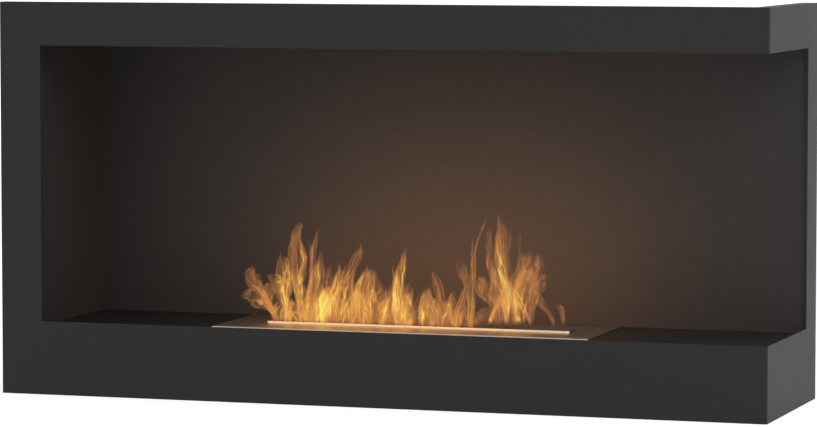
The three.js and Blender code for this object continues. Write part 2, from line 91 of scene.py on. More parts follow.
class Graph:
    """A node tree with short calls for adding and linking nodes."""

    def __init__(self, tree: NodeTree) -> None:
        """Wraps a material's, group's or world's node tree."""
        self.tree = tree

    def fill(self, node: Node, **inputs: object) -> None:
        """Feeds a node's inputs.

        Args:
            node: The node.
            **inputs: Values or outputs, keyed by the input's name with _ for spaces, or by i and its number.
        """
        for name, value in inputs.items():
            key = int(name[1:]) if name[0] == "i" and name[1:].isdigit() else name.replace("_", " ")
            if isinstance(value, NodeSocket):
                self.tree.links.new(value, node.inputs[key])
            else:
                node.inputs[key].default_value = value

    def add(self, kind: str, settings: dict | None = None, **inputs: object) -> Node:
        """Adds a node.

        Args:
            kind: The node's type name, without its "ShaderNode" start.
            settings: Properties of the node itself.
            **inputs: The node's inputs, as fill takes them.

        Returns:
            The new node.
        """
        node = self.tree.nodes.new("ShaderNode" + kind)
        for name, value in (settings or {}).items():
            setattr(node, name, value)
        self.fill(node, **inputs)
        return node

    def math(self, operation: str, a: object, b: object = 0.0, clamp: bool = False) -> NodeSocket:
        """Returns the output of a Math node."""
        return self.add("Math", {"operation": operation, "use_clamp": clamp}, i0=a, i1=b).outputs[0]

    def times(self, *values: object) -> NodeSocket:
        """Returns the product of two or more values."""
        return reduce(lambda a, b: self.math("MULTIPLY", a, b), values)

    def plus(self, *values: object) -> NodeSocket:
        """Returns the sum of two or more values."""
        return reduce(lambda a, b: self.math("ADD", a, b), values)

    def minus(self, a: object, b: object) -> NodeSocket:
        """Returns one value less another."""
        return self.math("SUBTRACT", a, b)

    def ramp(self, value: object, low: float, high: float, start: float = 0, end: float = 1) -> NodeSocket:
        """Returns a smooth, clamped map of a value from one range to another."""
        settings = {"interpolation_type": "SMOOTHSTEP"}
        return self.add("MapRange", settings, Value=value, i1=low, i2=high, i3=start, i4=end).outputs[0]

    def mix(self, factor: object, a: object, b: object) -> NodeSocket:
        """Returns the mix of two colours."""
        return self.add("Mix", {"data_type": "RGBA"}, i0=factor, i6=a, i7=b).outputs[2]

    def colours(self, value: object, stops: Sequence[tuple[float, Colour]]) -> NodeSocket:
        """Returns a colour ramp over a value.

        Args:
            value: The output that picks the colour.
            stops: Places and colours, the first at 0 and the last at 1.
        """
        node = self.add("ValToRGB", i0=value)
        elements = node.color_ramp.elements
        elements[0].color, elements[1].color = rgba(stops[0][1]), rgba(stops[-1][1])
        for place, colour in stops[1:-1]:
            elements.new(place).color = rgba(colour)
        return node.outputs[0]

    def noise(self, vector: object, scale: object, detail: float = 2.0, roughness: float = 0.5) -> NodeSocket:
        """Returns a noise value over a vector."""
        return self.add("TexNoise", Vector=vector, Scale=scale, Detail=detail, Roughness=roughness).outputs[0]

    def stretched(self, scale: Sequence[float] = (1.0, 1.0, 1.0)) -> NodeSocket:
        """Returns Object coordinates scaled by axis."""
        coordinates = self.add("TexCoord").outputs["Object"]
        return self.add("Mapping", Vector=coordinates, Scale=scale).outputs[0]

    def place(self) -> Sockets:
        """Returns the X, Y and Z outputs of the Object coordinates."""
        return self.add("SeparateXYZ", Vector=self.stretched()).outputs

    def bump(self, height: object, strength: float, distance: float) -> NodeSocket:
        """Returns the normal that a height gives the surface."""
        return self.add("Bump", Strength=strength, Distance=distance, Height=height).outputs[0]


def rgba(colour: Colour, gain: float = 1.0) -> tuple[float, float, float, float]:
    """Returns a colour, brightened or darkened, with full alpha."""
    return (*(gain * channel for channel in colour), 1.0)


class Effect:
    """A shared shader effect: a node group, built once, that puts out masks over the surface."""

    built: dict[str, NodeTree] = {}

    @classmethod
    def group(cls, name: str, inputs: dict[str, float], outputs: list[str]) -> tuple[Graph, Sockets, Node]:
        """Starts a group.

        Args:
            name: The group's name.
            inputs: Input names and their defaults.
            outputs: Output names.

        Returns:
            The group's graph, its inputs and its output node.
        """
        tree = bpy.data.node_groups.new(name, "ShaderNodeTree")
        for title, value in inputs.items():
            socket = tree.interface.new_socket(title, in_out="INPUT", socket_type="NodeSocketFloat")
            socket.default_value = value
        for title in outputs:
            tree.interface.new_socket(title, in_out="OUTPUT", socket_type="NodeSocketFloat")
        entry, end = tree.nodes.new("NodeGroupInput"), tree.nodes.new("NodeGroupOutput")
        cls.built[name] = tree
        return Graph(tree), entry.outputs, end

    @classmethod
    def place(cls, graph: Graph, name: str, **inputs: object) -> Node:
        """Places a built group in a material's graph and returns its node."""
        return graph.add("Group", {"node_tree": cls.built[name]}, **inputs)

    @classmethod
    def build_all(cls) -> None:
        """Builds every shared effect."""
        cls.build_orange_peel()
        cls.build_handling()
        cls.build_brushing()
        cls.build_dust()

    @classmethod
    def build_orange_peel(cls) -> None:
        """The fine dimpled skin of a sprayed or powder-coated surface."""
        graph, given, end = cls.group("orange_peel", {"Scale": 900.0}, ["Height", "Grain"])
        vector = graph.stretched()
        dimples = graph.noise(vector, given["Scale"], 2.0, 0.6)
        swell = graph.noise(vector, graph.times(given["Scale"], 0.23), 1.0)
        graph.fill(end, Height=graph.plus(dimples, swell), Grain=dimples)

    @classmethod
    def build_handling(cls) -> None:
        """Soft smudges and rubbed patches from hands and cloths."""
        graph, given, end = cls.group("handling", {"Size": 9.0, "Amount": 1.0}, ["Mask"])
        vector = graph.stretched((1.0, 1.0, 1.4))
        shape = {"Detail": 4.0, "Roughness": 0.62, "Distortion": 0.6}
        cloudy = graph.add("TexNoise", Vector=vector, Scale=given["Size"], **shape)
        patches = graph.ramp(cloudy.outputs[0], 0.42, 0.72)
        graph.fill(end, Mask=graph.times(patches, given["Amount"]))

    @classmethod
    def build_brushing(cls) -> None:
        """Long fine scratches along X from a brushing belt, with a few deeper ones."""
        graph, given, end = cls.group("brushing", {"Fineness": 1.0}, ["Streaks", "Scratches"])
        streaks = graph.noise(graph.stretched((6.0, 1500.0, 1500.0)), given["Fineness"], 3.0)
        deep = graph.noise(graph.stretched((3.0, 420.0, 420.0)), given["Fineness"], 1.0)
        graph.fill(end, Streaks=streaks, Scratches=graph.ramp(deep, 0.62, 0.74))

    @classmethod
    def build_dust(cls) -> None:
        """Fine dust that settles on what faces up."""
        graph, given, end = cls.group("dust", {"Amount": 1.0}, ["Mask"])
        normal = graph.add("NewGeometry").outputs["Normal"]
        upward = graph.ramp(graph.add("SeparateXYZ", Vector=normal).outputs["Z"], 0.6, 0.98)
        specks = graph.ramp(graph.noise(graph.stretched(), 60.0, 5.0, 0.7), 0.38, 0.75)
        graph.fill(end, Mask=graph.times(upward, specks, given["Amount"]))


@dataclass(frozen=True)
class Finish:
    """What every finish has: a name, a colour and a roughness."""

    name: str
    colour: Colour
    roughness: float

    def material(self) -> Material:
        """Builds the material and returns it."""
        material = bpy.data.materials.new(self.name)
        material.use_nodes = True
        self.paint(Graph(material.node_tree), material.node_tree.nodes["Principled BSDF"])
        return material

    def paint(self, graph: Graph, shader: Node) -> None:
        """Adds the finish's own nodes.

        Args:
            graph: The material's graph.
            shader: Its Principled node.
        """
        raise NotImplementedError


@dataclass(frozen=True)
class PowderCoat(Finish):
    """Matt black powder coat: fine dimples, faint smudges and a little dust on top."""

    specular: float = 0.25
    peel_scale: float = 900.0
    grain_gain: float = 1.35
    smudge_size: float = 7.0
    rubbed: float = 0.03
    dust: float = 0.5
    dust_colour: Colour = (0.16, 0.15, 0.14)
    dust_cover: float = 0.12
    dulled: float = 0.15
    relief: float = 0.12

    def paint(self, graph: Graph, shader: Node) -> None:
        """Adds the finish's own nodes."""
        peel = Effect.place(graph, "orange_peel", Scale=self.peel_scale)
        smudge = Effect.place(graph, "handling", Size=self.smudge_size, Amount=1.0).outputs["Mask"]
        dust = Effect.place(graph, "dust", Amount=self.dust).outputs["Mask"]
        grain = graph.ramp(peel.outputs["Grain"], 0.3, 0.7)
        skin = graph.mix(grain, rgba(self.colour), rgba(self.colour, self.grain_gain))
        rough = graph.plus(graph.times(smudge, -self.rubbed), graph.times(dust, self.dulled), self.roughness)
        graph.fill(
            shader,
            Base_Color=graph.mix(graph.times(dust, self.dust_cover), skin, rgba(self.dust_colour)),
            Roughness=rough,
            Normal=graph.bump(peel.outputs["Height"], self.relief, 0.2 * MM),
            Specular_IOR_Level=self.specular,
        )


@dataclass(frozen=True)
class BrushedSteel(Finish):
    """Stainless steel brushed along X, with heat tint where flames stand that is partly a painted warm glow of
    the flames, a painted highlight on the collar and the plate's front edge, and painted shade on the collar
    behind its front rim.
    """

    streak_gain: float = 0.82
    smudge_size: float = 16.0
    smudged: float = 0.07
    relief: float = 0.25
    # Heat tint around the slot: partly real tint, partly a painted warm glow of the flames on the plate.
    heat_and_glow_centre: Span | None = None
    heat_and_glow_reach: Span = (0.24, 0.05)
    tint: Colour = (0.5, 0.33, 0.16)
    tint_cover: float = 0.55
    # Painted highlight: a bright warm colour on the raised collar.
    painted_rim_highlight: Colour = (1.0, 0.8, 0.56)
    rim_highlight_above: float = 0.0903
    # Painted shade: a dark colour on the collar behind its front rim and inside the slot.
    painted_rim_shade: Colour = (0.17, 0.12, 0.09)
    rim_shade_behind: float = -0.0245
    # Painted highlight: a bright colour on the plate's front edge.
    painted_edge_highlight: Colour = (0.95, 0.8, 0.67)
    edge_highlight_at: float = -0.0853
    edges_dulled: float = 0.25
    edge_blur: float = 0.2 * MM
    rim_shade_blur: Span = (-1.5 * MM, 0.5 * MM)

    def paint(self, graph: Graph, shader: Node) -> None:
        """Adds the finish's own nodes."""
        brushing = Effect.place(graph, "brushing", Fineness=1.0)
        smudge = Effect.place(graph, "handling", Size=self.smudge_size, Amount=1.0).outputs["Mask"]
        streaks, scratches = brushing.outputs["Streaks"], brushing.outputs["Scratches"]
        darker = rgba(self.colour, self.streak_gain)
        steel = graph.mix(graph.ramp(streaks, 0.3, 0.7), rgba(self.colour), darker)
        rough = graph.ramp(streaks, 0.2, 0.8, self.roughness - 0.06, self.roughness + 0.08)
        rough = graph.plus(rough, graph.times(smudge, self.smudged))
        if self.heat_and_glow_centre is not None:
            # Heat tint, partly a painted warm glow of the flames.
            steel = graph.mix(self.heat_and_glow_mask(graph), steel, rgba(self.tint))
            collar, rim_shaded = self.rim_highlight_and_shade_masks(graph)
            # Painted highlight on the collar.
            steel = graph.mix(collar, steel, rgba(self.painted_rim_highlight))
            # Painted shade on the collar behind its front rim.
            steel = graph.mix(rim_shaded, steel, rgba(self.painted_rim_shade))
            # Painted highlight on the plate's front edge.
            edge_highlight = self.front_edge(graph)
            steel = graph.mix(edge_highlight, steel, rgba(self.painted_edge_highlight))
            dulled = graph.times(graph.math("MAXIMUM", collar, edge_highlight), self.edges_dulled)
            rough = graph.math("ADD", rough, dulled, clamp=True)
        height = graph.minus(streaks, graph.times(scratches, 0.8))
        normal = graph.bump(height, self.relief, 0.06 * MM)
        graph.fill(shader, Base_Color=steel, Roughness=rough, Metallic=1.0, Normal=normal)

    def heat_and_glow_mask(self, graph: Graph) -> NodeSocket:
        """Returns the mask of the heat tint, partly a painted warm glow of the flames, strongest at the slot's
        edge.
        """
        x, y = self.heat_and_glow_centre
        place = graph.place()
        across = graph.math("DIVIDE", graph.minus(place["X"], x), self.heat_and_glow_reach[0])
        along = graph.math("DIVIDE", graph.minus(place["Y"], y), self.heat_and_glow_reach[1])
        sides = graph.math("POWER", graph.math("ABSOLUTE", across), 6.0)
        ring = graph.plus(sides, graph.math("POWER", along, 2.0))
        wander = graph.noise(graph.stretched(), 30.0, 3.0)
        return graph.ramp(graph.plus(ring, graph.times(wander, 0.5)), 1.1, 0.25, 0.0, self.tint_cover)

    def front_edge(self, graph: Graph) -> NodeSocket:
        """Returns the mask of the painted highlight on the plate's front edge."""
        at, blur = self.edge_highlight_at, self.edge_blur
        return graph.ramp(graph.place()["Y"], at + blur, at - blur)

    def rim_highlight_and_shade_masks(self, graph: Graph) -> tuple[NodeSocket, NodeSocket]:
        """Returns the masks of the painted highlight on the collar and of the painted shade on the collar
        behind its front rim.
        """
        place = graph.place()
        above, blur = self.rim_highlight_above, self.edge_blur
        raised = graph.ramp(place["Z"], above - blur, above + blur)
        behind = graph.ramp(place["Y"], *(self.rim_shade_behind + fade for fade in self.rim_shade_blur))
        return raised, graph.times(raised, behind)


@dataclass(frozen=True)
class GalvanisedSheet(Finish):
    """Zinc-coated sheet with its frosty spangle."""

    spangle_scale: float = 85.0
    spangle_gain: float = 1.3
    spangle_bent: float = 0.01
    relief: float = 0.1

    def paint(self, graph: Graph, shader: Node) -> None:
        """Adds the finish's own nodes."""
        vector = graph.stretched()
        wobble = graph.add("TexNoise", Vector=vector, Scale=40.0, Detail=2.0).outputs[1]
        bent = {"i0": wobble, "i1": (self.spangle_bent,) * 3, "i2": vector}
        moved = graph.add("VectorMath", {"operation": "MULTIPLY_ADD"}, **bent).outputs[0]
        cells = graph.add("TexVoronoi", {"feature": "F1"}, Vector=moved, Scale=self.spangle_scale)
        tone = graph.add("SeparateColor", Color=cells.outputs["Color"]).outputs[0]
        graph.fill(
            shader,
            Base_Color=graph.mix(tone, rgba(self.colour), rgba(self.colour, self.spangle_gain)),
            Roughness=graph.ramp(tone, 0.0, 1.0, self.roughness - 0.1, self.roughness + 0.12),
            Normal=graph.bump(tone, self.relief, 0.2 * MM),
            Metallic=1.0,
        )


@dataclass(frozen=True)
class CoatedSteel(Finish):
    """Small black-coated steel fasteners, rubbed brighter on their high spots."""

    bare: Colour = (0.1, 0.1, 0.1)
    bare_metallic: float = 0.8
    peel_scale: float = 1600.0
    rub_size: float = 60.0
    rubbed: float = 0.4
    relief: float = 0.15

    def paint(self, graph: Graph, shader: Node) -> None:
        """Adds the finish's own nodes."""
        peel = Effect.place(graph, "orange_peel", Scale=self.peel_scale)
        rub = Effect.place(graph, "handling", Size=self.rub_size, Amount=self.rubbed).outputs["Mask"]
        rough = graph.ramp(peel.outputs["Grain"], 0.2, 0.8, self.roughness - 0.1, self.roughness + 0.1)
        graph.fill(
            shader,
            Base_Color=graph.mix(rub, rgba(self.colour), rgba(self.bare)),
            Metallic=graph.times(rub, self.bare_metallic),
            Roughness=rough,
            Normal=graph.bump(peel.outputs["Height"], self.relief, 0.1 * MM),
        )


@dataclass(frozen=True)
class FibreWool(Finish):
    """Packed ceramic fibre, yellowed by fuel and scorched in patches."""

    yellowed: Colour = (0.36, 0.31, 0.25)
    scorched: Colour = (0.13, 0.085, 0.055)
    patch_scale: float = 60.0
    specular: float = 0.2
    relief: float = 0.8

    def paint(self, graph: Graph, shader: Node) -> None:
        """Adds the finish's own nodes."""
        strands = graph.noise(graph.stretched((260.0, 900.0, 500.0)), 1.0, 6.0, 0.7)
        cross = graph.noise(graph.stretched((900.0, 240.0, 400.0)), 1.0, 5.0, 0.7)
        fibre = graph.math("MAXIMUM", strands, cross)
        patches = graph.ramp(graph.noise(graph.stretched(), self.patch_scale, 4.0), 0.42, 0.66)
        pale = graph.mix(graph.ramp(fibre, 0.45, 0.7), rgba(self.yellowed), rgba(self.colour))
        graph.fill(
            shader,
            Base_Color=graph.mix(patches, pale, rgba(self.scorched)),
            Normal=graph.bump(fibre, self.relief, 1.2 * MM),
            Roughness=self.roughness,
            Specular_IOR_Level=self.specular,
        )


@dataclass(frozen=True)
class FlameGlow(Finish):
    """A thin sheet of burning gas: see-through, with bright threads and one bright edge."""

    strength: float = 1.0
    thinnest: float = 0.17
    thickest: float = 0.5
    threads: float = 0.9
    fine_threads: float = 0.4
    tear: float = 0.5
    thin_tone: float = 0.5
    thread_rise: float = 15.0
    threads_apart: float = 30.0
    thread_layers: tuple[Span, ...] = ((2.2, 11.0), (5.5, 5.0))
    sway: float = 0.5
    sway_scale: Triple = (48.0, 48.0, 34.0)
    flutter: float = 0.14
    flutter_scale: Triple = (150.0, 110.0, 28.0)
    core: Span = (0.95, 0.35)
    rim: float = 0.45
    rim_start: Span = (0.06, 0.15)
    rim_end: Span = (0.27, 0.16)
    cloud: Span = (0.36, 1.2)
    cloud_scale: Triple = (70.0, 60.0, 34.0)
    tear_scale: Triple = (160.0, 110.0, 20.0)
    ragged: float = 0.5
    ragged_scale: Triple = (150.0, 150.0, 16.0)
    ragged_tip: Span = (1.02, 0.78)
    tip_warmth: float = 0.42
    fade: Span = (0.0855, 0.097)
    foot: Span = (0.094, 0.124)
    foot_warmth: float = 0.52
    cooler_past: Span = (0.085, 0.11)
    cooler_by: float = 0.008

    def paint(self, graph: Graph, shader: Node) -> None:
        """Adds the finish's own nodes."""
        uv = graph.add("SeparateXYZ", Vector=graph.add("TexCoord").outputs["UV"])
        across, up = uv.outputs["X"], uv.outputs["Y"]
        heat = graph.add("Attribute", {"attribute_name": "burn"}).outputs["Fac"]
        sway = graph.times(self.wander(graph, self.sway_scale, 3.0), self.sway)
        flutter = graph.times(self.wander(graph, self.flutter_scale), self.flutter)
        swayed = graph.plus(across, sway, flutter)
        outward = graph.math("ABSOLUTE", graph.times(graph.minus(swayed, 0.5), 2.0))
        inside = graph.ramp(outward, *self.core)
        rim = graph.times(graph.ramp(swayed, *self.rim_start), graph.ramp(swayed, *self.rim_end))
        clouds = graph.noise(graph.stretched(self.cloud_scale), 1.0, 3.0)
        cloud = graph.ramp(clouds, 0.32, 0.68, *self.cloud)
        tears = graph.noise(graph.stretched(self.tear_scale), 1.0, 2.0)
        torn = graph.ramp(tears, 0.36, 0.54, self.tear, 1.0)
        place = graph.place()
        height = graph.minus(place["Z"], graph.ramp(place["X"], *self.cooler_past, 0.0, self.cooler_by))
        foot = graph.ramp(height, *self.foot, self.foot_warmth, 1.0)
        warmth = graph.times(heat, graph.times(graph.ramp(up, 0.1, 0.95, 1.0, self.tip_warmth), foot))
        span = {"i1": 0.2, "i2": 1.0, "i3": self.thinnest, "i4": self.thickest}
        body = graph.add("MapRange", Value=warmth, **span).outputs[0]
        strokes = graph.times(self.threaded(graph, swayed), self.threads, inside)
        strokes = graph.plus(strokes, graph.times(rim, self.rim))
        strokes = graph.times(strokes, graph.plus(warmth, 0.15))
        amount = graph.times(graph.plus(graph.times(body, cloud, inside), strokes), torn)
        ragged = graph.plus(up, graph.times(self.wander(graph, self.ragged_scale), self.ragged))
        amount = graph.times(amount, graph.ramp(ragged, *self.ragged_tip))
        amount = graph.math("MULTIPLY", amount, graph.ramp(height, *self.fade), clamp=True)
        tone = graph.plus(graph.times(warmth, 0.88), graph.times(strokes, 0.8))
        tone = graph.times(tone, graph.ramp(amount, 0.0, 0.75, self.thin_tone, 1.05))
        graph.fill(
            shader,
            Emission_Color=graph.colours(tone, self.stops()),
            Alpha=amount,
            Emission_Strength=self.strength,
            Base_Color=rgba(self.colour),
            Specular_IOR_Level=0.0,
            Roughness=self.roughness,
        )

    def wander(self, graph: Graph, scale: Sequence[float], detail: float = 2.0) -> NodeSocket:
        """Returns a noise around 0, stretched by axis."""
        return graph.minus(graph.noise(graph.stretched(scale), 1.0, detail), 0.5)

    def threaded(self, graph: Graph, across: object) -> NodeSocket:
        """Returns the bright threads that run up the sheet: a few strong ones and finer, fainter ones."""
        place = graph.place()
        apart = graph.times(place["X"], self.threads_apart)
        rise = graph.times(place["Z"], self.thread_rise)
        layers = []
        for count, sharpness in self.thread_layers:
            vector = graph.add("CombineXYZ", X=graph.times(across, count), Y=rise, Z=apart)
            field = graph.noise(vector.outputs[0], 1.3, 2.0, 0.4)
            doubled = graph.minus(graph.times(field, 2.0), 1.0)
            ridge = graph.minus(1.0, graph.math("ABSOLUTE", doubled))
            layers.append(graph.math("POWER", ridge, sharpness))
        return graph.plus(layers[0], graph.times(layers[1], self.fine_threads))

    def stops(self) -> list[tuple[float, Colour]]:
        """Returns the glow's colours from its coolest to its hottest."""
        return [
            (0.0, (0.52, 0.2, 0.105)),
            (0.3, (0.66, 0.26, 0.075)),
            (0.55, (0.87, 0.39, 0.08)),
            (0.78, (1.0, 0.55, 0.11)),
            (1.0, (1.0, 0.82, 0.16)),
        ]


# ---- Modelling helpers ----

WELD = 0.001 * MM
FLAT = math.radians(1.0)
SHARP = math.radians(40.0)


def placed(name: str, data: ID) -> Object:
    """Returns a new object around its data, in the scene."""
    thing = bpy.data.objects.new(name, data)
    bpy.context.scene.collection.objects.link(thing)
    return thing


def deselect_all() -> None:
    """Leaves object mode with nothing selected."""
    if bpy.context.object is not None and bpy.context.object.mode != "OBJECT":
        bpy.ops.object.mode_set(mode="OBJECT")
    bpy.ops.object.select_all(action="DESELECT")


def work_on(piece: Object) -> None:
    """Makes one piece the only selected and active one."""
    deselect_all()
    piece.select_set(True)
    bpy.context.view_layer.objects.active = piece


def apply_place(piece: Object) -> None:
    """Moves the object's place into its mesh, so that its origin is the world's."""
    work_on(piece)
    bpy.ops.object.transform_apply(location=True, rotation=True, scale=True)


def apply_modifiers(piece: Object) -> None:
    """Applies every modifier in order."""
    work_on(piece)
    for modifier in list(piece.modifiers):
        bpy.ops.object.modifier_apply(modifier=modifier.name)


def select_where(piece: Object, test: Callable[[Vector], bool]) -> None:
    """In edit mode, selects the vertices that pass a test, and the edges and faces between them.

    Args:
        piece: The object in edit mode.
        test: A function of a vertex's place.
    """
    mesh = bmesh.from_edit_mesh(piece.data)
    for vertex in mesh.verts:
        vertex.select = test(vertex.co)
    mesh.select_mode = {"VERT"}
    mesh.select_flush_mode()
    bmesh.update_edit_mesh(piece.data)


def smooth(piece: Object, degrees: float = 35.0) -> None:
    """Shades smooth, but sharp over edges past an angle."""
    work_on(piece)
    bpy.ops.object.shade_smooth_by_angle(angle=math.radians(degrees), keep_sharp_edges=False)


def settle(piece: Object, body: Body, material: Material) -> None:
    """Gives a finished piece its material and body."""
    piece.data.materials.clear()
    piece.data.materials.append(material)
    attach(piece, body.value)
    log.info("%s rides on %s with %s", piece.name, body.value, material.name)


def dress(node: str, material: Material) -> None:
    """Gives a CAD node its material."""
    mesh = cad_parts[node].data
    mesh.materials.clear()
    mesh.materials.append(material)
    log.info("%s dressed with %s", node, material.name)


def eased(node: str, width: float, segments: int = 2) -> Object:
    """Copies a CAD node with its sharp edges rounded, and hides the node.

    Args:
        node: The CAD node.
        width: The bevel's width in metres.
        segments: The bevel's steps.

    Returns:
        The new piece, which replaces the node.
    """
    deselect_all()
    piece = placed(f"{node}_eased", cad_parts[node].data.copy())
    work_on(piece)
    bpy.ops.mesh.customdata_custom_splitnormals_clear()
    bpy.ops.object.mode_set(mode="EDIT")
    bpy.ops.mesh.select_all(action="SELECT")
    bpy.ops.mesh.remove_doubles(threshold=WELD)
    bpy.ops.mesh.dissolve_limited(angle_limit=FLAT)
    bpy.ops.object.mode_set(mode="OBJECT")
    bevel = piece.modifiers.new("ease", "BEVEL")
    bevel.width = width
    bevel.segments = segments
    bevel.limit_method = "ANGLE"
    bevel.angle_limit = SHARP
    bevel.use_clamp_overlap = True
    apply_modifiers(piece)
    smooth(piece)
    flatten = piece.modifiers.new("flatten", "WEIGHTED_NORMAL")
    flatten.keep_sharp = True
    flatten.weight = 100
    apply_modifiers(piece)
    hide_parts(node)
    return piece


# ---- Sub-assemblies ----


@dataclass
class SheetWork:
    """Folded sheets that keep their CAD shape and get eased edges."""

    nodes: tuple[str, ...]
    body: Body
    slot: Slot
    edge: float = 0.4 * MM

    def build(self, material: Material) -> None:
        """Makes the eased sheets, all with one finish."""
        for node in self.nodes:
            settle(eased(node, self.edge), self.body, material)


@dataclass
class RivetSet:
    """Flush blind rivets: modelled once and copied to each CAD rivet."""

    head: float = 3.0 * MM
    head_depth: float = 1.4 * MM
    shank: float = 1.6 * MM
    grip: float = 4.3 * MM
    bulb: float = 2.3 * MM
    bulb_depth: float = 2.5 * MM
    bore: float = 0.95 * MM
    bore_depth: float = 0.8 * MM
    sides: int = 24

    def build(self, material: Material) -> None:
        """Makes one rivet for each CAD rivet, all with one finish."""
        master = self.model()
        for node in sorted(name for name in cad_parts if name.startswith("rivet_")):
            piece = placed(f"{node}_set", master.data.copy())
            piece.data.transform(self.place_of(node))
            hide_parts(node)
            settle(piece, Body.CASING, material)
        bpy.data.objects.remove(master)

    def model(self) -> Object:
        """Models one rivet along -Z, its flush face on the origin, and returns it."""
        deselect_all()
        bpy.ops.mesh.primitive_circle_add(vertices=self.sides, radius=self.head, fill_type="NGON")
        piece = bpy.context.object
        piece.name = "rivet_master"
        bpy.ops.object.mode_set(mode="EDIT")
        bpy.ops.mesh.select_all(action="SELECT")
        bpy.ops.mesh.flip_normals()
        radius, height = self.head, 0.0
        for next_radius, next_height in (
            (self.shank, -self.head_depth),
            (self.shank, -self.grip),
            (self.bulb, -self.grip - 0.2 * MM),
            (self.bulb, -self.grip - self.bulb_depth + 0.4 * MM),
            (0.7 * self.bulb, -self.grip - self.bulb_depth),
        ):
            drop = {"value": (0.0, 0.0, next_height - height)}
            bpy.ops.mesh.extrude_region_move(TRANSFORM_OT_translate=drop)
            scale = next_radius / radius
            centre = (0.0, 0.0, next_height)
            bpy.ops.transform.resize(value=(scale, scale, 1.0), center_override=centre)
            radius, height = next_radius, next_height
        select_where(piece, lambda place: place.z > -0.01 * MM)
        bpy.ops.mesh.inset(thickness=self.head - self.bore)
        bpy.ops.mesh.extrude_region_move(TRANSFORM_OT_translate={"value": (0.0, 0.0, -self.bore_depth)})
        bpy.ops.mesh.select_all(action="SELECT")
        bpy.ops.mesh.remove_doubles(threshold=WELD)
        bpy.ops.mesh.normals_make_consistent(inside=False)
        bpy.ops.object.mode_set(mode="OBJECT")
        smooth(piece, 30.0)
        return piece

    def place_of(self, node: str) -> Matrix:
        """Returns the matrix from the master rivet to a CAD rivet's place."""
        low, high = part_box(node)
        middle = (low + high) / 2
        size = high - low
        if size.y > size.x:
            return Matrix.Translation((middle.x, high.y, middle.z)) @ Matrix.Rotation(-math.pi / 2, 4, "X")
        return Matrix.Translation((low.x, middle.y, middle.z)) @ Matrix.Rotation(-math.pi / 2, 4, "Y")


@dataclass
class Wool:
    """The ceramic-fibre pad in the tank: a soft block with rounded corners and an uneven skin."""

    node: str = "ceramic_wool"
    inset: float = 0.8 * MM
    corner: float = 4.0 * MM
    cuts: int = 5
    fluff: float = 1.4 * MM
    fluff_size: float = 12.0 * MM

    def build(self, material: Material) -> None:
        """Models the pad inside the CAD block."""
        low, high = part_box(self.node)
        middle, size = (low + high) / 2, high - low
        deselect_all()
        scale = size - Vector((2 * self.inset,) * 3)
        bpy.ops.mesh.primitive_cube_add(size=1.0, location=middle, scale=scale)
        piece = bpy.context.object
        piece.name = "wool_pad"
        apply_place(piece)
        bpy.ops.object.mode_set(mode="EDIT")
        bpy.ops.mesh.select_all(action="SELECT")
        bpy.ops.mesh.bevel(offset=self.corner, segments=3, affect="EDGES")
        bpy.ops.mesh.select_all(action="SELECT")
        bpy.ops.mesh.subdivide(number_cuts=self.cuts, smoothness=0.0)
        bpy.ops.object.mode_set(mode="OBJECT")
        fluff = bpy.data.textures.new("wool_fluff", "CLOUDS")
        fluff.noise_scale = self.fluff_size
        displace = piece.modifiers.new("fluff", "DISPLACE")
        displace.texture = fluff
        displace.strength = self.fluff
        displace.mid_level = 0.6
        apply_modifiers(piece)
        smooth(piece, 60.0)
        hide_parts(self.node)
        settle(piece, Body.BURNER, material)


@dataclass(frozen=True)
class Ribbon:
    """One sheet of flame, in millimetres.

    The line holds X, Z and width from foot to tip. The depth is behind the slot's middle, and the turn is in
    degrees about the line. A flipped ribbon has its bright edge on its other side.
    """

    name: str
    line: tuple[Triple, ...]
    heat: float
    depth: float
    turn: float
    flipped: bool = False


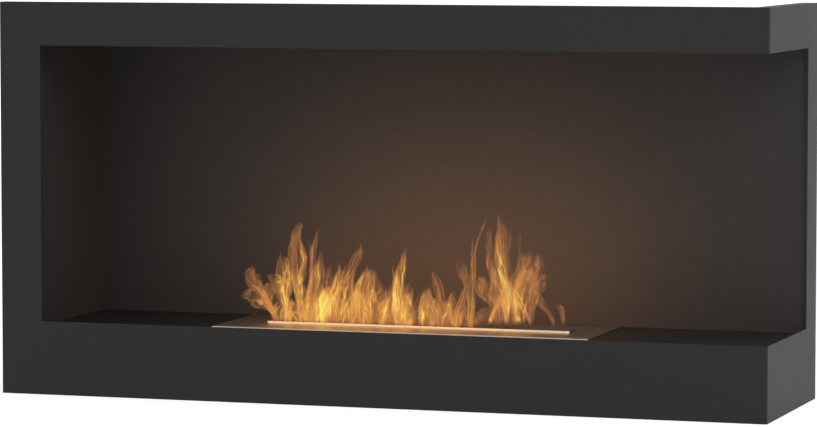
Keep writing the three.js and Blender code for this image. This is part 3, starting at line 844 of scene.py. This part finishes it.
# Each row: name, flipped, heat, depth and turn, then X, Z and width at each knot from foot to tip.
TALL_ROWS = (
    ("tail_low", False, 0.47, 4, 12, -174, 100, 8, -186, 112, 15, -197, 119, 26, -210, 123, 21, -225, 122, 2),
    ("tail_up", False, 0.42, -5, -12,
     -176, 105, 8, -190, 130, 15, -200, 141, 20, -204, 151, 22, -199, 160, 10),
    ("shoulder_low", False, 0.85, 6, 15,
     -158, 104, 9, -163, 120, 17, -166, 133, 26, -174, 143, 19, -187, 149, 2),
    ("shoulder_up", False, 0.62, -3, -10,
     -158, 109, 6, -163, 133, 17, -161, 152, 31, -163, 165, 21, -164, 181, 4),
    ("big", False, 0.52, 2, 10,
     -140, 100, 8, -142, 133, 15, -144, 167, 27, -145, 194, 18, -142, 210, 13, -136, 213, 8, -131, 212, 3),
    ("big_line", True, 0.62, -6, 0, -137, 107, 4, -137, 128, 5, -137, 152, 5, -133, 176, 4, -137, 194, 3),
    ("big_right", False, 0.14, 7, -15, -130, 107, 7, -128, 134, 8, -127, 164, 6, -129, 182, 4, -134, 198, 2),
    ("thin", True, 0.38, -2, 25, -124, 107, 15, -123, 131, 13, -122, 161, 9, -120, 187, 9, -114, 213, 3),
    ("heart", False, 1.25, 1, -6, -107, 98, 8, -105, 110, 26, -104, 123, 29, -101, 139, 8),
    ("heart_glow", True, 1.4, -8, 8, -108, 101, 8, -106, 114, 16, -103, 126, 14, -101, 136, 3),
    ("veil", False, 0.3, 8, -6, -97, 111, 26, -99, 135, 27, -100, 152, 29, -102, 168, 22),
    ("lean", False, 0.5, 3, 15,
     -96, 108, 12, -86, 138, 10, -77, 150, 8, -67, 171, 10, -59, 184, 8, -58, 194, 2),
    ("lean_right", True, 0.36, -7, -20, -69, 120, 10, -70, 141, 8, -64, 163, 6, -57, 176, 6, -55, 190, 2),
    ("cross", False, 0.55, 9, 0, -60, 102, 7, -67, 122, 5, -73, 144, 5, -78, 154, 4),
    ("bright_line", True, 0.75, -4, 10, -103, 100, 15, -97, 121, 12, -90, 143, 8, -85, 159, 5, -81, 169, 2),
    ("pair_left", False, 0.66, 2, 20, -64, 98, 21, -61, 122, 18, -57, 143, 15, -52, 155, 10, -49, 166, 2),
    ("pair_mid", True, 0.6, -5, -12, -44, 99, 23, -46, 123, 21, -46, 142, 16, -43, 155, 10, -39, 166, 2),
    ("pair_right", False, 0.4, 6, 10, -32, 99, 16, -31, 121, 12, -29, 134, 11, -28, 145, 3),
    ("broad", False, 0.72, -2, 12, 0, 93, 30, -4, 119, 24, -6, 144, 18, -1, 165, 12, 4, 191, 3),
    ("broad_left", True, 0.3, 6, -20, -7, 105, 15, -10, 129, 13, -13, 145, 10, -17, 167, 2),
    ("broad_right", False, 0.36, -8, 15, 8, 105, 16, 9, 126, 14, 11, 139, 10, 16, 150, 2),
    ("arch", True, 0.5, 4, -15, 27, 96, 18, 25, 117, 17, 29, 133, 12, 34, 145, 2),
    ("leaf", False, 0.4, -3, 20, 48, 97, 12, 50, 121, 13, 50, 134, 15, 46, 147, 13, 40, 160, 4),
    ("tooth", True, 0.74, 2, -10, 59, 94, 28, 60, 109, 23, 62, 124, 14, 66, 139, 2),
    ("left_leg", False, 0.5, -5, 20, 74, 102, 13, 78, 118, 12, 83, 137, 11, 89, 151, 2),
    ("spire", True, 0.52, 3, -8, 86, 102, 9, 87, 135, 8, 90, 160, 8, 90, 185, 6, 90, 207, 2),
    ("spire_left", False, 0.36, -7, 15, 92, 117, 8, 88, 144, 11, 82, 160, 13, 77, 175, 11, 75, 188, 4),
    ("wisp", True, 0.42, 6, 0, 92, 155, 2, 92, 176, 2, 95, 197, 3, 100, 212, 3, 106, 225, 4, 106, 237, 2),
    ("centre", False, 0.9, 0, 10,
     150, 102, 10, 142, 129, 10, 134, 150, 11, 130, 168, 12, 125, 190, 9, 126, 234, 3),
    ("crown", False, 0.28, -6, -15,
     138, 118, 9, 135, 156, 9, 135, 184, 13, 135, 208, 18, 131, 224, 11, 125, 238, 2),
    ("crown_right", True, 0.22, 8, 10, 150, 135, 6, 149, 171, 4, 150, 193, 4, 149, 210, 4, 142, 220, 2),
    ("sheet_left", False, 0.45, 4, -20, 132, 112, 13, 126, 139, 16, 118, 158, 16, 110, 173, 10, 110, 189, 2),
    ("sheet_mid", True, 0.24, -4, 15, 125, 123, 11, 118, 161, 12, 115, 188, 10, 113, 207, 7, 115, 225, 2),
    ("skirt", False, 0.42, 7, 10, 126, 113, 7, 116, 127, 17, 105, 140, 24, 97, 149, 17, 90, 158, 4),
    ("x_left", False, 0.74, -2, -10, 113, 93, 6, 122, 112, 10, 132, 129, 15, 141, 142, 13, 148, 153, 4),
    ("x_right", True, 0.66, 5, 10, 167, 93, 3, 158, 112, 6, 148, 131, 9, 135, 149, 7, 132, 167, 3),
    ("fold", False, 0.42, -3, 8,
     145, 102, 13, 150, 126, 21, 156, 151, 26, 163, 168, 30, 170, 181, 28, 172, 190, 12),
    ("fold_glow", True, 0.62, 3, -15, 146, 116, 5, 148, 139, 9, 152, 153, 16, 154, 165, 10),
    ("fold_edge", False, 0.4, -8, 0, 162, 110, 6, 168, 137, 6, 174, 154, 6, 179, 168, 5, 180, 184, 3),
    ("flag", True, 0.26, 5, -10, 166, 105, 7, 169, 130, 10, 175, 145, 17, 183, 155, 17, 192, 154, 2),
    ("right_low", False, 0.3, -5, 15, 201, 94, 3, 194, 112, 7, 183, 127, 11, 176, 138, 9, 172, 148, 2),
    ("x_core", False, 1.2, 9, 5, 134, 103, 8, 133, 117, 11, 132, 131, 10, 130, 146, 7, 128, 158, 3),
    ("dome", False, 0.42, 9, 5, 154, 118, 12, 161, 143, 19, 168, 162, 22, 172, 178, 20, 173, 192, 9),
    ("shoulder_glow", True, 0.9, 9, -5,
     -165, 110, 6, -163, 122, 10, -160, 134, 11, -163, 146, 8, -169, 154, 3),
    ("fan", False, 0.34, -6, 6, -171, 100, 8, -175, 110, 18, -177, 121, 27, -174, 132, 25, -168, 143, 10),
    ("veil_thin", False, 0.62, 9, 12, -123, 106, 24, -121, 130, 24, -117, 160, 13, -113, 182, 4),
    ("veil_lean", True, 0.5, -9, -14, -87, 110, 26, -80, 136, 24, -73, 156, 18, -66, 172, 6),
    ("veil_pair", False, 0.42, 9, 8, -45, 120, 30, -46, 136, 28, -45, 150, 20, -44, 160, 6),
    ("veil_centre", False, 0.27, -9, 10, 128, 120, 26, 134, 142, 30, 133, 164, 26, 130, 186, 16, 128, 205, 5),
    ("end", True, 0.3, 3, -10, 209, 93, 3, 208, 109, 7, 205, 118, 8, 197, 123, 2),
)
TALL_FLAMES = tuple(
    Ribbon(name, tuple(zip(knots[::3], knots[1::3], knots[2::3])), heat, depth, turn, flipped)
    for name, flipped, heat, depth, turn, *knots in TALL_ROWS
)


@dataclass
class FlameRow:
    """The row of flames that stands in the burner's slot, as one piece of many thin ribbons."""

    ribbons: tuple[Ribbon, ...]
    flickers: int = 23
    sheets: int = 9
    low_ends: Span = (-170.0, 105.0)
    low_foot: float = 93.0
    heat_at: tuple[float, ...] = (-40.0, 0.0, 50.0, 75.0)
    flicker_heats: tuple[float, ...] = (0.84, 0.66, 0.66, 0.16)
    sheet_heats: tuple[float, ...] = (0.66, 0.48, 0.44, 0.1)
    top_at: tuple[float, ...] = (-152.0, -136.0, 55.0, 65.0)
    flicker_tops: tuple[float, ...] = (119.0, 133.0, 133.0, 112.0)
    sheet_tops: tuple[float, ...] = (114.0, 126.0, 126.0, 106.0)
    slot_middle: float = -11.0 * MM
    foot: float = 84.5 * MM
    foot_ends: Span = (-172.0 * MM, 208.0 * MM)
    across: int = 10
    rows: int = 36
    bow: float = 140.0
    depth_share: float = 0.55
    spread: float = 1.5
    ripple: float = 5.0 * MM
    ripple_shares: tuple[tuple[str, float], ...] = (("X", 0.6), ("Y", 1.2))
    crossed_above: float = 150.0
    crossed_wider: float = 8.0
    crossed_heat: float = 0.8
    crossed_turn: float = 80.0
    veils_start: float = 109.0
    foot_share: float = 0.7
    veil_foot_share: float = 0.25

    def build(self, material: Material) -> None:
        """Makes every ribbon from one master sheet and joins them into one piece."""
        master = self.model()
        sheets = list(self.ribbons) + self.low_flickers() + self.low_sheets() + self.crossing()
        pieces = [self.raise_ribbon(master, ribbon, number) for number, ribbon in enumerate(sheets)]
        bpy.data.objects.remove(master)
        deselect_all()
        for piece in pieces:
            piece.select_set(True)
        bpy.context.view_layer.objects.active = pieces[0]
        bpy.ops.object.join()
        flames = bpy.context.object
        flames.name = "flames"
        smooth(flames, 180.0)
        settle(flames, Body.BURNER, material)
        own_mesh(flames)
        flames.visible_shadow = False
        flames.visible_diffuse = False

    def crossing(self) -> list[Ribbon]:
        """Returns a second ribbon, turned across the first, for each tall flame, for depth from the side."""
        crossed = []
        for ribbon in self.ribbons:
            tall, wide = ribbon.line[-1][1] > self.crossed_above, ribbon.line[1][2] > self.crossed_wider
            if tall and wide and not self.is_veil(ribbon):
                heat, turn = self.crossed_heat * ribbon.heat, ribbon.turn + self.crossed_turn
                crossed.append(Ribbon(f"{ribbon.name}_across", ribbon.line, heat, ribbon.depth, turn))
        return crossed

    def is_veil(self, ribbon: Ribbon) -> bool:
        """Returns whether a ribbon starts above the slot, as a veil does."""
        return ribbon.line[0][1] >= self.veils_start

    def low_flame(self, share: float, heats: Sequence[float], tops: Sequence[float]) -> Triple:
        """Returns the place, heat and height of a low flame at its share of the slot's length."""
        first, last = self.low_ends
        place = first + (last - first) * share
        return place, float(np.interp(place, self.heat_at, heats)), float(np.interp(place, self.top_at, tops))

    def low_flickers(self) -> list[Ribbon]:
        """Returns the short flames along the slot, spread evenly, varied by waves and cooler to the right."""
        flickers = []
        for index in range(self.flickers):
            share = index / (self.flickers - 1)
            place, heat, top = self.low_flame(share, self.flicker_heats, self.flicker_tops)
            heat += 0.15 * math.sin(index * 3.7)
            top += 9.0 * math.sin(index * 2.4)
            lean = 15.0 * math.sin(index * 1.7 + 1.0)
            width = 20.0 + 6.0 * math.cos(index * 3.1)
            middle = self.low_foot + 0.4 * (top - self.low_foot)
            line = (
                (place, self.low_foot, 0.8 * width),
                (place + 0.2 * lean, middle, width),
                (place + lean, top, 0.5 * width),
            )
            depth = 6.0 * math.cos(index * 2.9)
            turn = 30.0 * math.sin(index * 4.3)
            flickers.append(Ribbon(f"flicker_{index + 1}", line, heat, depth, turn, index % 2 == 1))
        return flickers

    def low_sheets(self) -> list[Ribbon]:
        """Returns the broad, dim sheets that fill the gaps between the flickers."""
        foot = self.low_foot - 1.0
        sheets = []
        for index in range(self.sheets):
            share = (index + 0.5) / self.sheets
            place, heat, top = self.low_flame(share, self.sheet_heats, self.sheet_tops)
            heat += 0.1 * math.sin(index * 2.9)
            top += 6.0 * math.cos(index * 1.9)
            lean = 5.0 * math.sin(index * 2.3)
            line = ((place, foot, 28.0), (place, 0.5 * (foot + top), 34.0), (place + lean, top, 26.0))
            depth = 4.0 * math.sin(index * 3.3)
            sheets.append(Ribbon(f"sheet_{index + 1}", line, heat, depth, 12.0, index % 2 == 0))
        return sheets

    def model(self) -> Object:
        """Models the master sheet.

        Returns:
            A bowed sheet, a unit wide and high, on the origin, with a UV map that runs across and up it.
        """
        deselect_all()
        cuts = {"x_subdivisions": self.across, "y_subdivisions": self.rows}
        bpy.ops.mesh.primitive_grid_add(**cuts, size=1.0, calc_uvs=True)
        piece = bpy.context.object
        piece.name = "flame_master"
        piece.rotation_euler = (math.pi / 2, 0.0, 0.0)
        piece.location = (0.0, 0.0, 0.5)
        apply_place(piece)
        bend = piece.modifiers.new("bow", "SIMPLE_DEFORM")
        bend.deform_method = "BEND"
        bend.deform_axis = "Z"
        bend.angle = math.radians(self.bow)
        apply_modifiers(piece)
        return piece

    def raise_ribbon(self, master: Object, ribbon: Ribbon, seed: int) -> Object:
        """Copies the master sheet and lays it along one ribbon's line.

        Args:
            master: The master sheet.
            ribbon: The line, width and turn to give it.
            seed: Shifts the ripples, so that no two ribbons share them.

        Returns:
            The ribbon.
        """
        piece = placed(f"flame_{ribbon.name}", master.data.copy())
        places = self.smoothed(ribbon)
        steps = np.linalg.norm(np.diff(places[:, :2], axis=0), axis=1)
        along = np.concatenate(([0.0], np.cumsum(steps))) / steps.sum()
        ways = np.gradient(places[:, :2], axis=0)
        ways /= np.linalg.norm(ways, axis=1)[:, None]
        turn = math.radians(ribbon.turn)
        for vertex in piece.data.vertices:
            x, y, rise = vertex.co
            middle_x, middle_z, width = (float(np.interp(rise, along, column)) for column in places.T)
            way_x, way_z = (float(np.interp(rise, along, column)) for column in ways.T)
            width *= self.spread
            across = width * (x * math.cos(turn) - y * math.sin(turn))
            deep = width * (x * math.sin(turn) + y * math.cos(turn)) * self.depth_share
            depth = self.slot_middle + ribbon.depth * MM + deep
            vertex.co = (middle_x + way_z * across, depth, middle_z - way_x * across)
        heat = piece.data.attributes.new("burn", "FLOAT", "POINT")
        heat.data.foreach_set("value", [ribbon.heat] * len(piece.data.vertices))
        if ribbon.flipped:
            for corner in piece.data.uv_layers.active.data:
                corner.uv.x = 1.0 - corner.uv.x
        self.add_ripple(piece, seed)
        return piece

    def smoothed(self, ribbon: Ribbon) -> np.ndarray:
        """Returns a smooth run of X, Z and width in metres through the ribbon's line, from the slot up."""
        line = np.array(ribbon.line, float) * MM
        share = self.veil_foot_share if self.is_veil(ribbon) else self.foot_share
        foot = (float(np.clip(line[0, 0], *self.foot_ends)), self.foot, share * line[0, 2])
        knots = np.vstack((foot, line))
        knots = np.vstack((2 * knots[0] - knots[1], knots, 2 * knots[-1] - knots[-2]))
        places = []
        for before, start, end, after in zip(knots, knots[1:], knots[2:], knots[3:]):
            for step in np.linspace(0.0, 1.0, 12, endpoint=False):
                bend = 2 * start + step * (end - before)
                bend += step**2 * (2 * before - 5 * start + 4 * end - after)
                bend += step**3 * (3 * start - before - 3 * end + after)
                places.append(bend / 2)
        return np.array([*places, knots[-2]])

    def add_ripple(self, piece: Object, seed: int) -> None:
        """Ripples a ribbon, more with height, by displacing it along X and Y."""
        group = piece.vertex_groups.new(name="lift")
        heights = [vertex.co.z for vertex in piece.data.vertices]
        low, high = min(heights), max(heights)
        for vertex in piece.data.vertices:
            group.add([vertex.index], ((vertex.co.z - low) / (high - low)) ** 0.8, "REPLACE")
        for axis, share in self.ripple_shares:
            texture = bpy.data.textures.new(f"ripple_{seed}_{axis}", "CLOUDS")
            texture.noise_scale = 0.018 + 0.004 * (seed % 3)
            ripple = piece.modifiers.new("ripple", "DISPLACE")
            ripple.texture = texture
            ripple.direction = axis
            ripple.strength = self.ripple * share
            ripple.vertex_group = "lift"
        apply_modifiers(piece)
        piece.vertex_groups.clear()


@dataclass(frozen=True)
class SoftLamp:
    """A soft rectangular lamp that faces a point."""

    name: str
    place: Point
    target: Point
    size: Span
    watts: float
    colour: Colour = (1.0, 1.0, 1.0)

    def hang(self) -> Object:
        """Adds the lamp, unseen by the camera, and returns it."""
        data = bpy.data.lights.new(self.name, "AREA")
        data.shape = "RECTANGLE"
        data.size, data.size_y = self.size
        data.energy = self.watts
        data.color = self.colour
        lamp = placed(self.name, data)
        lamp.location = self.place
        lamp.rotation_euler = (Vector(self.target) - Vector(self.place)).to_track_quat("-Z", "Y").to_euler()
        lamp.visible_camera = False
        return lamp


WARM = (1.0, 0.42, 0.13)
SOFTBOX = SoftLamp("softbox", (3.0, -2.5, 3.2), (0.2, 0.0, 0.25), (2.5, 2.5), 60.0)
WALL_GLOW = SoftLamp("flame_glow", (0.06, -0.11, 0.18), (0.06, 0.085, 0.195), (0.4, 0.12), 1.15, WARM)
PLATE_LIGHT = SoftLamp(
    "plate_light", (-0.04, -0.08, 0.135), (-0.04, -0.028, 0.09), (0.38, 0.02), 0.055, (1.0, 0.5, 0.18)
)


@dataclass
class Studio:
    """The floor, the light and the camera."""

    floor_size: float = 90.0
    lens: float = 173.2
    place: Point = (1.5649, -4.7156, 0.6128)
    yaw: float = 18.332
    pitch: float = 4.378
    world_light: float = 0.8
    floor_grey: float = 0.82
    floor_glow: float = 0.5
    flame_points: tuple[Point, ...] = ((-0.12, -0.011, 0.125), (0.01, -0.011, 0.12), (0.135, -0.011, 0.13))
    flame_watts: tuple[float, ...] = (0.25, 0.2, 0.25)

    def build(self) -> None:
        """Builds the camera, the floor, the world and the lamps."""
        self.add_camera()
        self.add_floor()
        self.set_world()
        self.add_lamps()
        bpy.context.scene.view_settings.view_transform = "Standard"

    def add_camera(self) -> None:
        """Adds the camera at the photograph's viewing angle."""
        data = bpy.data.cameras.new("camera")
        data.sensor_fit = "HORIZONTAL"
        data.sensor_width = 36.0
        data.lens = self.lens
        data.clip_end = 200.0
        camera = placed("camera", data)
        camera.location = self.place
        camera.rotation_euler = (math.radians(90.0 - self.pitch), 0.0, math.radians(self.yaw))
        bpy.context.scene.camera = camera

    def add_floor(self) -> None:
        """Adds the plain pale floor, which looks white to the camera but keeps its shadows."""
        deselect_all()
        bpy.ops.mesh.primitive_plane_add(size=self.floor_size)
        floor = bpy.context.object
        floor.name = "floor"
        material = bpy.data.materials.new("pale_floor")
        material.use_nodes = True
        graph = Graph(material.node_tree)
        shader = material.node_tree.nodes["Principled BSDF"]
        graph.fill(shader, Base_Color=rgba((self.floor_grey,) * 3), Roughness=0.9, Specular_IOR_Level=0.0)
        seen = self.seen_directly(graph)
        glow = graph.add("Emission", Color=(1.0, 1.0, 1.0, 1.0), Strength=self.floor_glow)
        lit = graph.add("AddShader", i0=shader.outputs[0], i1=glow.outputs[0])
        shown = graph.add("MixShader", i0=seen, i1=shader.outputs[0], i2=lit.outputs[0])
        graph.fill(material.node_tree.nodes["Material Output"], Surface=shown.outputs[0])
        floor.data.materials.append(material)

    def seen_directly(self, graph: Graph) -> NodeSocket:
        """Returns 1 for the camera's own rays and for what metal and glass show, and 0 for light."""
        path = graph.add("LightPath")
        shown = graph.math("MAXIMUM", path.outputs["Is Camera Ray"], path.outputs["Is Glossy Ray"])
        return graph.math("MAXIMUM", shown, path.outputs["Is Transmission Ray"])

    def set_world(self) -> None:
        """Makes the world white to the camera and a soft even light on the object."""
        world = bpy.data.worlds.new("studio")
        world.use_nodes = True
        bpy.context.scene.world = world
        graph = Graph(world.node_tree)
        strength = graph.ramp(self.seen_directly(graph), 0.0, 1.0, self.world_light, 1.0)
        graph.fill(world.node_tree.nodes["Background"], Color=(1.0, 1.0, 1.0, 1.0), Strength=strength)

    def add_lamps(self) -> None:
        """Adds the studio's softbox and the flames' warm light."""
        SOFTBOX.hang()
        WALL_GLOW.hang().visible_glossy = False
        for number, (place, watts) in enumerate(zip(self.flame_points, self.flame_watts), 1):
            data = bpy.data.lights.new(f"flame_light_{number}", "POINT")
            data.energy = watts
            data.color = WARM
            data.shadow_soft_size = 0.02
            lamp = placed(data.name, data)
            lamp.location = place
            lamp.visible_glossy = False

    def light_burner(self) -> None:
        """Adds the flames' light on the burner's plate and collar, and on nothing else."""
        receivers = bpy.data.collections.new("lit_plate")
        receivers.objects.link(bpy.data.objects["burner_plate_eased"])
        PLATE_LIGHT.hang().light_linking.receiver_collection = receivers


def main() -> None:
    """Builds every sub-assembly in order."""
    Effect.build_all()
    outside = PowderCoat("powder_coat", (0.0125, 0.0125, 0.0127), 0.6).material()
    # Painted light: the firebox's inner walls take a lighter copy of the same black coat.
    inside = PowderCoat("powder_coat_firebox", (0.0215, 0.0211, 0.0205), 0.62, dust=0.2).material()
    # Painted shade: the firebox floor takes a darker copy of the same black coat.
    shaded_floor_coat = PowderCoat("powder_coat_floor", (0.0085, 0.008, 0.0075), 0.42, specular=0.5, dust=0.1).material()
    # The plate's warm steel colour and heat tint: partly real tint, partly a painted warm glow of the flames.
    steel = BrushedSteel("stainless", (0.64, 0.56, 0.47), 0.3, heat_and_glow_centre=(0.021, -0.011)).material()
    plain_steel = BrushedSteel("stainless_plain", (0.58, 0.57, 0.55), 0.36).material()
    scorched = BrushedSteel("stainless_scorched", (0.2, 0.155, 0.13), 0.42).material()
    zinc = GalvanisedSheet("galvanised", (0.42, 0.44, 0.46), 0.42).material()
    black = CoatedSteel("rivet_steel", (0.016, 0.016, 0.0165), 0.5).material()
    wool = FibreWool("ceramic_wool", (0.62, 0.58, 0.51), 0.95).material()
    glow = FlameGlow("flame_glow", (0.0, 0.0, 0.0), 1.0).material()

    studio = Studio()
    studio.build()
    SheetWork(("facade_frame",), Body.CASING, Slot.POWDER_COAT, 0.5 * MM).build(outside)
    casing = ("casing_back", "casing_left", "casing_top", "casing_bottom")
    SheetWork(casing, Body.CASING, Slot.POWDER_COAT).build(outside)
    firebox = ("firebox_back", "firebox_left", "firebox_ceiling")
    SheetWork(firebox, Body.CASING, Slot.POWDER_COAT).build(inside)
    SheetWork(("firebox_floor",), Body.CASING, Slot.POWDER_COAT).build(shaded_floor_coat)
    RivetSet().build(black)
    SheetWork(("burner_plate",), Body.BURNER, Slot.STAINLESS, 0.3 * MM).build(steel)
    under = ("fuel_tank", "wool_grid", "shutter_rail_left", "shutter_rail_right")
    SheetWork(under, Body.BURNER, Slot.STAINLESS, 0.25 * MM).build(plain_steel)
    SheetWork(("shutter",), Body.SHUTTER, Slot.STAINLESS, 0.25 * MM).build(scorched)
    Wool().build(wool)
    FlameRow(TALL_FLAMES).build(glow)
    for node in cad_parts:
        if ("spacer" in node or "support" in node) and not node.startswith("rivet_"):
            dress(node, zinc)
    studio.light_burner()
    deselect_all()


if __name__ == "__main__":
    main()
